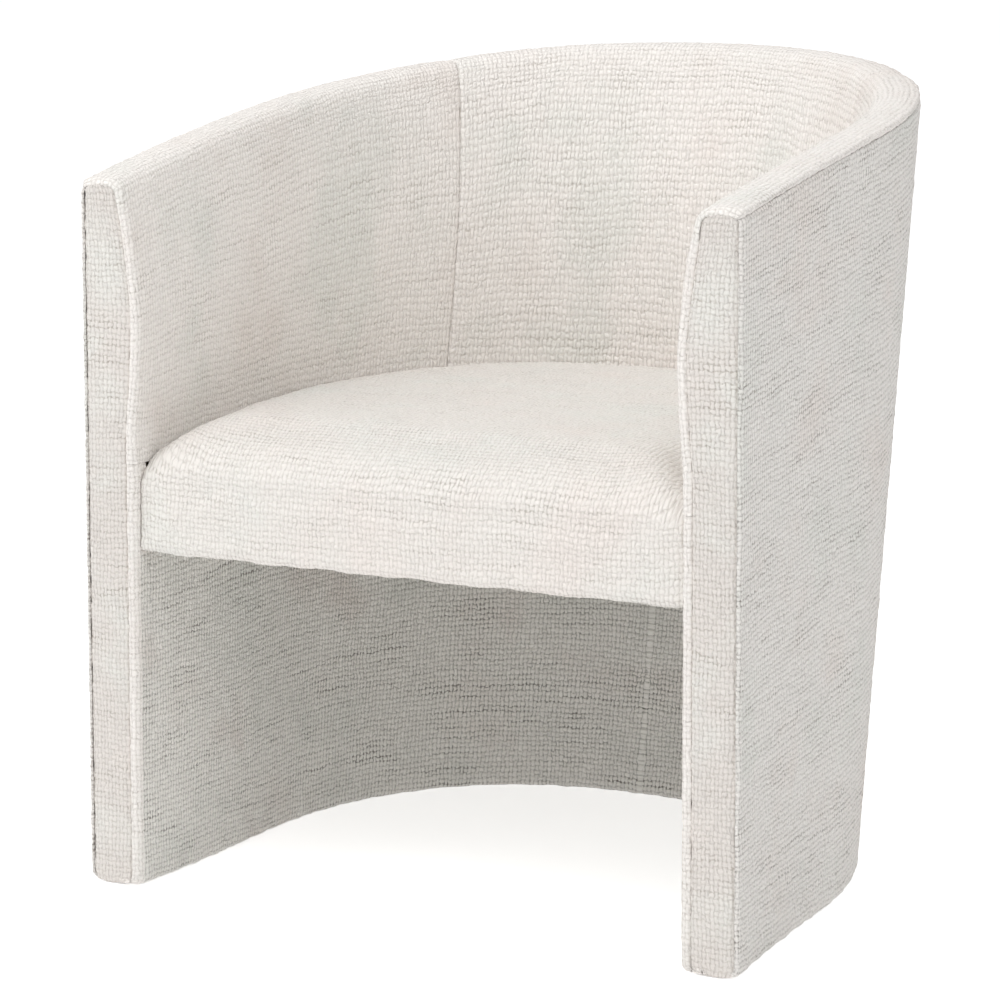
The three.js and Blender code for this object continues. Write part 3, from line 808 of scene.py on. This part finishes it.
def makeOutsidePanels():
    values = outsideCovers
    cuts = [distanceAt(outerRuler, u) for u in wallShape["seams"]]
    radius = values["wrapRadius"]
    extra = radius * math.pi / 2 - radius
    hem = values["hemBack"] + values["hemRadius"] * math.pi / 2
    reference = values["reference"]
    rimDepth, rimWidth = values["rimSeam"]
    rows = spaced(hem + reference, values["step"], 0.012)

    def makePanel(start, end):
        atFront = start == 0
        length = end - start + (extra if atFront else 0)
        columns = spaced(length, values["step"])

        def place(p, v):
            if atFront:
                s, dip = frontWrap(p, radius, 0)
            else:
                s, dip = start + p, seamDip(p, values)
            dip += seamDip(length - p, values)
            u = uAt(outerRuler, s)
            if v <= hem:
                inset, z = hemmedFace(v, 0, -1, values)
            else:
                foot = hemmedFace(hem, 0, -1, values)[1]
                inset, z = 0, mix(foot, rimHeight(u) - values["topDrop"], (v - hem) / reference)
            fromTop = hem + reference - v
            puckers = ripple(values["pucker"], s, fromTop, values["rimRipple"])
            dip += rimDepth * bell(fromTop, rimWidth) + puckers
            dip += ripple(values["wave"], s, z, values["waveForm"])
            corner = values["cornerLift"] * bell(p, 0.006) * bell(z, 0.010) if atFront else 0
            return wallPlace(u, inset + dip, z + corner * 0.5)

        return gridSurface(columns, rows, place, lambda p, v: (start + p + 0.4, v))

    for side in ("right", "left", "back"):
        bm = makePanel(*cuts) if side == "back" else makePanel(0, cuts[0])
        if side == "left":
            mirror(bm)
        knobs(bm, values["knobs"])
        node = "outside_cover_" + side
        finish(bm, side + "OutsideCover", wovenOutsidePaintedLightAndShade, node, clothThickness, awayFromMiddle(1))


makeOutsidePanels()
print("outside covers made")


# Facings: the narrow padded strips on the two front ends

facing = {
    "step": 0.0036,
    "outerEdge": 0.0033,
    "overlap": 0.0015,
    "topInset": 0.022,
    "low": 0.0010,
    "corner": 0.008,
    "shoulder": 0.007,
    "base": 0.0010,
    "crown": 0.0020,
    "edgeDepth": 0.0024,
    "edgeWidth": 0.0018,
    "knobs": 0.0008,
    "reference": 0.65,  # height and width that the weave is measured on
    "referenceWidth": 0.047,
}


def facingForward(point):
    return Vector((0, -1, 0))


def wrapEndLine():
    # The line on the front where the inside cover's turned edge ends, as (drop, inset)
    line = []
    for k in range(201):
        v = padRun[-1] * k / 200
        point, normal = padSection(v)
        end = point - normal * (insideCovers["wrapRadius"] + restAt(v) - facing["overlap"])
        if end.x > facing["topInset"]:
            line.append((end.y, end.x))
    line.sort()
    return line


def cornerFall(distance, radius):
    # How far a round corner has fallen, a distance in from its side
    if distance >= radius:
        return 0.0
    return radius - math.sqrt(max(radius**2 - (radius - distance) ** 2, 0.0))


def facingWidth(z, line):
    # Inset of the facing's inner edge at a height
    top, zone = wallShape["armHeight"], wallShape["rimZone"]
    drop = top - z
    if drop > zone:
        share = (drop - zone) / (top - zone - wallShape["padStart"])
        drop = mix(zone, wallShape["padDrop"], min(share, 1.0))
    return readOff([d for d, _ in line], [x for _, x in line], min(max(drop, line[0][0]), line[-1][0]))


def makeFacings():
    values = facing
    line = wrapEndLine()
    reference, width = values["reference"], values["referenceWidth"]
    middleSteps = 12
    across = [0, 0.02, 0.045, 0.08] + [0.08 + 0.84 * k / middleSteps for k in range(1, middleSteps)]
    across += [0.92, 0.955, 0.98, 1]
    up = [y / reference for y in spaced(reference, values["step"], 0.010)]
    top = wallShape["armHeight"] - line[0][0]

    def place(t, share):
        z = mix(values["low"], top, share)
        foot = cornerFall(z - values["low"], values["corner"])
        outer = values["outerEdge"] + foot + cornerFall(top - z, values["shoulder"])
        inner = facingWidth(z, line) - foot
        side = min(t, 1 - t) * (inner - outer)
        d = min(side, z - values["low"] + 0.0002, top - z + 0.0002)
        y = values["edgeDepth"] * bell(d, values["edgeWidth"]) - values["crown"] * (1 - abs(2 * t - 1) ** 2.6)
        point = wallPlace(0, mix(outer, inner, t), z)
        return Vector((point.x, cadLow.y + values["base"] + y, z))

    for side in ("right", "left"):
        bm = gridSurface(across, up, place, lambda t, s: (t * width + 0.1, s * reference))
        if side == "left":
            mirror(bm)
        knobs(bm, values["knobs"])
        finish(bm, side + "Facing", wovenFacingPaintedShade, side + "_facing", clothThickness, facingForward)


makeFacings()
print("facings made")


# Seat: a crowned closed form, swelled as cloth and then fitted back between the arms

seatValues = {
    "crown": 0.4425,
    "edge": 0.4260,
    "lip": 0.381,
    "apronBottom": 0.3175,
    "apronFace": 0.0075,
    "frontRoll": 0.026,
    "rollDepth": 0.042,
    "slack": 0.007,  # the form starts this much lower, and the pressure fills it out
    "inset": 0.0568,
    "voxel": 0.0055,
    "pressure": 4.0,
    "frames": 20,
    "cap": 0.010,
    "sideCap": 0.0014,
    "knobs": 0.0007,
    "halfWidth": 0.275,
    "cornerFall": 0.016,
    "cornerSpread": (0.026, 0.15),  # from the side, and from the front
    "wave": 0.0007,
    "pucker": 0.0008,
    "sidePush": 0.0045,
}
clothSettings = {
    "quality": 5, "mass": 0.35, "tension_stiffness": 18, "compression_stiffness": 18, "shear_stiffness": 8,
    "bending_stiffness": 1.2, "use_pressure": True, "uniform_pressure_force": seatValues["pressure"],
}
seatMiddle = Vector((0, 0.258 + cadLow.y))


def seatEdge(inset, faceY, z, around=150, front=60):
    # The seat's outline: round the wall from the right front, and straight back along the front
    rule = ruler(inset, z, 300)
    total = rule[1][-1]
    wallPoints = []
    for k in range(around + 1):
        point = wallPlace(uAt(rule, total * k / around), inset, z)
        wallPoints.append(Vector((point.x, point.y)))
    limit = cadLow.y + faceY
    side = [p for p in wallPoints if p.y > limit + 0.004]
    corner = side[0].x
    line = [Vector((mix(-corner, corner, k / front), limit)) for k in range(front + 1)]
    return side + line


def seatHeight(share, point, crown, edge):
    fall = (crown - edge) * share**6
    back = (point.y - cadLow.y - seatValues["apronFace"]) / seatValues["rollDepth"]
    roll = seatValues["frontRoll"] * max(0, 1 - back) ** 2.2
    fromSide = seatValues["halfWidth"] - abs(point.x)
    fromFront = point.y - cadLow.y
    sideSpread, frontSpread = seatValues["cornerSpread"]
    corner = seatValues["cornerFall"] * bell(max(fromSide, 0), sideSpread)
    corner *= bell(max(fromFront - 0.01, 0), frontSpread)
    return crown - fall - roll - corner


def closedOnOutline(upper, lower, profile, height):
    # A grid wrapped round the outline: from the middle of the top, over the edge, to the middle below
    count = len(upper)
    bm, cell = numberedGrid(count, len(profile) - 1)
    for v, (k, j) in cell.items():
        share, level = profile[j]
        edge = (upper if level < 2 else lower)[k % count]
        flat = seatMiddle.lerp(edge, share)
        v.co = Vector((flat.x, flat.y, height(level, share, flat, edge)))
    bmesh.ops.remove_doubles(bm, verts=bm.verts[:], dist=1e-5)
    bmesh.ops.recalc_face_normals(bm, faces=bm.faces[:])
    return bm


padding = {
    "clear": 0.0030, "seatClear": 0.0040, "foamInset": 0.0632, "foamBottom": 0.3790, "groove": 0.0032,
    "grooveWidth": 0.0032, "foamRim": (0.007, 0.0092), "padLow": 0.010, "padTop": 0.0125, "padEdge": 0.0062,
    "padCorner": 0.006, "padFace": 0.0072, "padThickness": 0.0042,
}


def makeSeatFoam(bm):
    # The same form, shrunk inside the cover and cut flat where it rests on the felt
    bm.normal_update()
    shifts = [v.normal * padding["seatClear"] for v in bm.verts]
    for v, shift in zip(bm.verts, shifts):
        v.co -= shift
    everything = bm.verts[:] + bm.edges[:] + bm.faces[:]
    level = Vector((0, 0, padding["foamBottom"]))
    bmesh.ops.bisect_plane(bm, geom=everything, plane_co=level, plane_no=(0, 0, -1), clear_outer=True)
    bmesh.ops.holes_fill(bm, edges=[e for e in bm.edges if e.is_boundary], sides=0)
    bmesh.ops.recalc_face_normals(bm, faces=bm.faces[:])
    finish(bm, "seatFoam", cutFoam, "seat_foam")


def bakeModifiers(piece):
    graph = bpy.context.evaluated_depsgraph_get()
    mesh = bpy.data.meshes.new_from_object(piece.evaluated_get(graph))
    old = piece.data
    piece.modifiers.clear()
    piece.data = mesh
    bpy.data.meshes.remove(old)


def makeSeatForm():
    values = seatValues
    upper = seatEdge(values["inset"], values["apronFace"], values["edge"])
    lower = seatEdge(values["inset"], values["apronFace"], values["lip"])
    lower = [lower[min(round(k * len(lower) / len(upper)), len(lower) - 1)] for k in range(len(upper))]
    profile = [(share, 0) for share in (0, 0.2, 0.4, 0.55, 0.68, 0.78, 0.86, 0.91, 0.945, 0.97, 0.987, 1)]
    profile += [(1, 1), (1, 1.5), (1, 2), (0.985, 2), (0.962, 2)]
    profile += [(share, 3) for share in (0.955, 0.9, 0.6, 0.3, 0)]

    def height(level, share, flat, edge):
        top = seatHeight(share, flat, values["crown"] - values["slack"] * (1 - share**8), values["edge"])
        isApron = edge.y < cadLow.y + 0.012
        lip = values["apronBottom"] if isApron else values["lip"]
        if level == 0:
            return top
        if level < 2:
            return mix(top, lip, level / 2)
        return lip if level == 2 else values["lip"]

    return closedOnOutline(upper, lower, profile, height)


def swell(piece, values):
    # Cloth under pressure, with its underside held
    base = piece.data
    held = piece.vertex_groups.new(name="held")
    low = [v.index for v in base.vertices if v.co.z < values["lip"] + 0.004 and v.normal.z < -0.3]
    held.add(low, 1.0, "REPLACE")
    cloth = piece.modifiers.new("cover", "CLOTH")
    for label, value in clothSettings.items():
        setattr(cloth.settings, label, value)
    cloth.settings.vertex_group_mass = "held"
    cloth.settings.effector_weights.gravity = 0
    cloth.collision_settings.use_collision = False
    cloth.collision_settings.use_self_collision = False
    cloth.point_cache.frame_start = 1
    cloth.point_cache.frame_end = values["frames"]
    for f in range(1, values["frames"] + 1):
        scene.frame_set(f)
    graph = bpy.context.evaluated_depsgraph_get()
    swollen = piece.evaluated_get(graph).to_mesh()
    moved = [v.co.copy() for v in swollen.vertices]
    piece.evaluated_get(graph).to_mesh_clear()
    piece.modifiers.clear()
    piece.vertex_groups.clear()
    scene.frame_set(1)
    for v, target in zip(base.vertices, moved):
        step = target - v.co
        if step.length > values["cap"]:
            step *= values["cap"] / step.length
        flat = Vector((step.x, step.y))
        if flat.length > values["sideCap"] and v.co.z > 0.33:
            flat *= values["sideCap"] / flat.length
        v.co += Vector((flat.x, flat.y, step.z))


def makeSeat():
    values = seatValues
    piece = meshObject(makeSeatForm(), "seatCover")
    remesh = piece.modifiers.new("even", "REMESH")
    remesh.mode = "VOXEL"
    remesh.voxel_size = values["voxel"]
    remesh.use_smooth_shade = True
    bakeModifiers(piece)
    swell(piece, values)
    soften = piece.modifiers.new("soften", "SMOOTH")
    soften.factor = 0.5
    soften.iterations = 4
    smooth = piece.modifiers.new("smooth", "SUBSURF")
    smooth.levels = smooth.render_levels = 1
    bakeModifiers(piece)

    bm = bmesh.new()
    bm.from_mesh(piece.data)
    # the apron's foot is a little wavy, and the top puckers where it is drawn down beside the arms
    for v in bm.verts:
        x, y, z = v.co.x, v.co.y - cadLow.y, v.co.z
        if y < 0.19:
            # the sides reach the wall again after the smoothing
            widest = wallPlace(uAt(lowerRuler, max(y, 0)), wallShape["lower"] + 0.0005, min(z, 0.44)).x
            pushed = abs(x) + values["sidePush"] * ease((abs(x) - widest + 0.030) / 0.026)
            v.co.x = math.copysign(min(pushed, widest), x)
        foot = bell(z - values["apronBottom"], 0.020) if y < 0.03 else 0
        v.co.z += foot * values["wave"] * (math.sin(x * 66 + 0.7) + 0.6 * math.sin(x * 143))
        if z > 0.39:
            edge = bell(max(values["halfWidth"] - abs(x), 0), 0.018) * ease((y - 0.02) / 0.04)
            v.co.z += values["pucker"] * edge * math.sin(y * 190)
    knobs(bm, values["knobs"])
    weave = bm.loops.layers.uv.new("weave")
    for face in bm.faces:
        for loop in face.loops:
            x, y, z = loop.vert.co.x, loop.vert.co.y - cadLow.y, loop.vert.co.z
            top = seatHeight(0, Vector((0, y + cadLow.y)), values["crown"], values["edge"])
            beside = max(values["halfWidth"] - abs(x), 0)
            up = y + z - top - 0.020 * bell(beside, 0.045) * ease(y / 0.03)
            loop[weave].uv = (x + 0.05, up)
    makeSeatFoam(bm.copy())
    centres = [(f, f.calc_center_median()) for f in bm.faces if f.normal.z < -0.5]
    below = [f for f, at in centres if at.y > cadLow.y + 0.022 and at.z > values["lip"] - 0.006]
    bmesh.ops.delete(bm, geom=below, context="FACES")
    bm.to_mesh(piece.data)
    bm.free()
    for polygon in piece.data.polygons:
        polygon.use_smooth = True
    piece.data.materials.clear()
    piece.data.materials.append(wovenCover)
    thicken(piece, clothThickness)
    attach(piece, "root")
    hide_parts("seat_cover")
    return piece


seatCover = makeSeat()
print("seat cover made:", len(seatCover.data.polygons), "faces")


# Padding: inside foam, facing pads and outside wadding


def pushAlong(section, rule, start, end, step, place):
    # A closed section pushed along the wall, with its ends filled, and with closer steps at the panel seams
    total = rule[1][-1]
    count = round((end - start) * total / step)
    distances = {mix(start, end, k / count) * total for k in range(count + 1)}
    for cut in wallShape["seams"]:
        distances |= {distanceAt(rule, cut) + k * 0.0012 for k in range(-4, 5)}
    distances = sorted(distances)
    loop = section + section[:1]
    bm, cell = numberedGrid(len(distances) - 1, len(loop) - 1)
    for v, (i, j) in cell.items():
        v.co = place(*loop[j], uAt(rule, distances[i]))
    bmesh.ops.remove_doubles(bm, verts=bm.verts[:], dist=1e-5)
    bmesh.ops.holes_fill(bm, edges=[e for e in bm.edges if e.is_boundary], sides=0)
    bmesh.ops.recalc_face_normals(bm, faces=bm.faces[:])
    return bm


def makeInsideFoam():
    outer = []
    steps = 40
    for k in range(steps + 1):
        point, normal = padSection(padRun[-1] * 0.93 * k / steps)
        outer.append((point.x - normal.x * padding["clear"], point.y - normal.y * padding["clear"]))
    rimInset, rimDrop = padding["foamRim"]
    outer = [(inset, drop) for inset, drop in outer if inset > rimInset]
    board = wallShape["boardInset"] + 0.0003
    section = outer + [(rimInset, rimDrop), (board, rimDrop)]
    section += [(board, mix(rimDrop, wallShape["padDrop"], k / 12)) for k in range(1, 13)]
    cuts = [distanceAt(innerRuler, cut) for cut in wallShape["seams"]]

    def place(inset, drop, u):
        fromSeam = min(abs(distanceAt(innerRuler, u) - cut) for cut in cuts)
        groove = padding["groove"] * bell(fromSeam, padding["grooveWidth"])
        if inset > board + 0.001:
            inset -= groove
        elif inset < board - 0.001:
            drop += groove
        return wallPlace(u, paddedInset(inset, drop, u), heightAtDrop(drop, u))

    bm = pushAlong(section, innerRuler, 0.0085, 0.9915, 0.014, place)
    finish(bm, "insideFoam", cutFoam, "inside_foam")


def makeWadding():
    rows = [k / 30 for k in range(31)]
    section = [(0.0034, row) for row in rows] + [(0.0058, row) for row in reversed(rows)]

    def place(inset, row, u):
        return wallPlace(u, inset, mix(0.0085, rimHeight(u) - 0.0115, row))

    bm = pushAlong(section, outerRuler, 0.007, 0.993, 0.016, place)
    finish(bm, "outsideWadding", softWadding, "outside_wadding")


def makeFacingPads():
    line = wrapEndLine()
    low, high = padding["padLow"], wallShape["armHeight"] - padding["padTop"]

    def place(t, share):
        z = mix(low, high, share)
        outer = padding["padEdge"] + cornerFall(high - z, padding["padCorner"])
        inner = facingWidth(z, line) - padding["padEdge"] - cornerFall(high - z, padding["padCorner"])
        point = wallPlace(0, mix(outer, inner, t), z)
        return Vector((point.x, cadLow.y + padding["padFace"], z))

    for side in ("right", "left"):
        bm = gridSurface([k / 8 for k in range(9)], [k / 60 for k in range(61)], place, lambda t, s: (t, s))
        if side == "left":
            mirror(bm)
        node, thickness = side + "_facing_pad", padding["padThickness"]
        finish(bm, side + "FacingPad", cutFoam, node, thickness, facingForward)


makeInsideFoam()
makeWadding()
makeFacingPads()
print("padding made")


# Felt over the springs, and the dust cover under the seat

underside = {
    "feltZ": 0.3755, "feltTop": 0.3768, "feltBottom": 0.3743, "liningZ": 0.3202, "liningInset": 0.0487,
    "liningThickness": 0.0006, "sag": 0.0022, "staplePitch": 0.045, "staple": (0.0105, 0.0012, 0.0006),
    "stapleDrop": 0.0011,
}


def makeUnderside():
    edge = seatEdge(padding["foamInset"], 0.024, underside["feltZ"], 110, 40)
    shares = [0, 0.2, 0.4, 0.6, 0.75, 0.87, 0.94, 0.98, 1]

    def feltHeight(level, share, flat, _):
        wave = 0.0004 * noise.noise(Vector((flat.x * 30, flat.y * 30, 0)))
        return underside["feltTop" if level < 2 else "feltBottom"] + wave

    profile = [(s, 0) for s in shares] + [(s, 2) for s in reversed(shares)]
    bm = closedOnOutline(edge, edge, profile, feltHeight)
    finish(bm, "springFelt", pressedFelt, "spring_felt")

    edge = seatEdge(underside["liningInset"], 0.0222, underside["liningZ"], 130, 50)
    shares = [0, 0.12, 0.25, 0.4, 0.55, 0.68, 0.8, 0.88, 0.94, 0.975, 1]
    bm, cell = numberedGrid(len(edge), len(shares) - 1)
    for v, (k, j) in cell.items():
        share = shares[j]
        flat = seatMiddle.lerp(edge[k % len(edge)], share)
        loose = (1 - share**4) * (1 + 0.5 * noise.noise(Vector((flat.x * 9, flat.y * 9, 3))))
        v.co = Vector((flat.x, flat.y, underside["liningZ"] - underside["sag"] * loose))
    bmesh.ops.remove_doubles(bm, verts=bm.verts[:], dist=1e-5)
    thickness = underside["liningThickness"]
    downward = Vector((0, 0, -1))
    piece = finish(bm, "dustCover", underLining, "dust_cover", thickness, lambda point: downward)
    xs, ys = [p.x for p in edge], [p.y for p in edge]
    flatSize = (max(xs) - min(xs), max(ys) - min(ys))

    # staples round the dust cover's edge
    run = lengths(edge)
    bm = bmesh.new()
    for k in range(int(run[-1] / underside["staplePitch"])):
        point = Vector(readOff(run, edge, (k + 0.5) * underside["staplePitch"]))
        inner = seatMiddle.lerp(point, 0.968)
        turn = math.atan2(point.y - seatMiddle.y, point.x - seatMiddle.x) + math.pi / 2
        made = bmesh.ops.create_cube(bm, size=1)["verts"]
        bmesh.ops.scale(bm, vec=underside["staple"], verts=made)
        bmesh.ops.rotate(bm, cent=(0, 0, 0), matrix=Matrix.Rotation(turn, 3, "Z"), verts=made)
        level = underside["liningZ"] - underside["stapleDrop"]
        bmesh.ops.translate(bm, vec=(inner.x, inner.y, level), verts=made)
    finish(bm, "dustCoverStaples", springSteel)


makeUnderside()
print("underside made")


# Floor, light and camera

studio = {
    "floorSize": 30.0,
    "floorGlow": 0.30,
    "floorSeen": 0.55,  # the camera sees the floor as white as the studio round it
    "ambient": 0.62,
    "airSeen": 1.02,
    "aim": (0, 0, 0.35),
    "key": {"place": (-2.1, -2.0, 2.1), "size": 1.8, "power": 15},
    "side": {"place": (1.5, -2.0, 3.0), "size": 2.2, "power": 12},
    "top": {"place": (-0.3, -1.0, 3.3), "size": 2.8, "power": 42},
    "azimuth": 27.32,
    "elevation": 10.32,
    "distance": 3.20,
    "target": (-0.0011, 0.2000, 0.3582),  # with y from the chair's front
    "lens": 124.0,
}

bm = bmesh.new()
bmesh.ops.create_grid(bm, x_segments=1, y_segments=1, size=studio["floorSize"] / 2)
floor = meshObject(bm, "floor")
floorPaint = bpy.data.materials.new("floorPaint")
floorPaint.use_nodes = True
floorLook = {
    "Base Color": rgb(0.96, 0.96, 0.96),
    "Roughness": 0.9,
    "Specular IOR Level": 0.1,
    "Emission Color": rgb(1, 1, 1),
}
floorTree = floorPaint.node_tree
floorShader = floorTree.nodes["Principled BSDF"]
for label, value in floorLook.items():
    floorShader.inputs[label].default_value = value
path = floorTree.nodes.new("ShaderNodeLightPath")
glowRange = (studio["floorGlow"], studio["floorSeen"])
glow = stretch(floorTree, path.outputs["Is Camera Ray"], 0, 1, glowRange)
put(floorTree, floorShader.inputs["Emission Strength"], glow)
floor.data.materials.append(floorPaint)

world = bpy.data.worlds.new("studioAir")
scene.world = world
world.use_nodes = True
sky = world.node_tree
sky.nodes.clear()
skyOut = sky.nodes.new("ShaderNodeOutputWorld")


def airLight(strength):
    light = sky.nodes.new("ShaderNodeBackground")
    light.inputs["Color"].default_value = rgb(1, 1, 1)
    light.inputs["Strength"].default_value = strength
    return light.outputs[0]


rays = sky.nodes.new("ShaderNodeLightPath")
choose = sky.nodes.new("ShaderNodeMixShader")
sky.links.new(rays.outputs["Is Camera Ray"], choose.inputs["Fac"])
sky.links.new(airLight(studio["ambient"]), choose.inputs[1])
sky.links.new(airLight(studio["airSeen"]), choose.inputs[2])  # white to the camera
sky.links.new(choose.outputs[0], skyOut.inputs["Surface"])


def softLight(name, values):
    light = bpy.data.lights.new(name, "AREA")
    light.size = values["size"]
    light.energy = values["power"]
    lamp = linked(name, light)
    lamp.location = values["place"]
    aim = Vector(studio["aim"]) - Vector(values["place"])
    lamp.rotation_euler = aim.to_track_quat("-Z", "Y").to_euler()


for lampName in ("key", "side", "top"):
    softLight(lampName + "Light", studio[lampName])

cameraData = bpy.data.cameras.new("camera")
camera = linked("camera", cameraData)
scene.camera = camera
cameraData.sensor_width = 36
cameraData.lens = studio["lens"]
azimuth, elevation = math.radians(studio["azimuth"]), math.radians(studio["elevation"])
away = Vector(
    (math.sin(azimuth) * math.cos(elevation), -math.cos(azimuth) * math.cos(elevation), math.sin(elevation))
)
target = Vector(studio["target"]) + Vector((0, cadLow.y, 0))
camera.location = target + away * studio["distance"]
camera.rotation_euler = (-away).to_track_quat("-Z", "Y").to_euler()
scene.view_settings.view_transform = "Standard"
print("studio made")
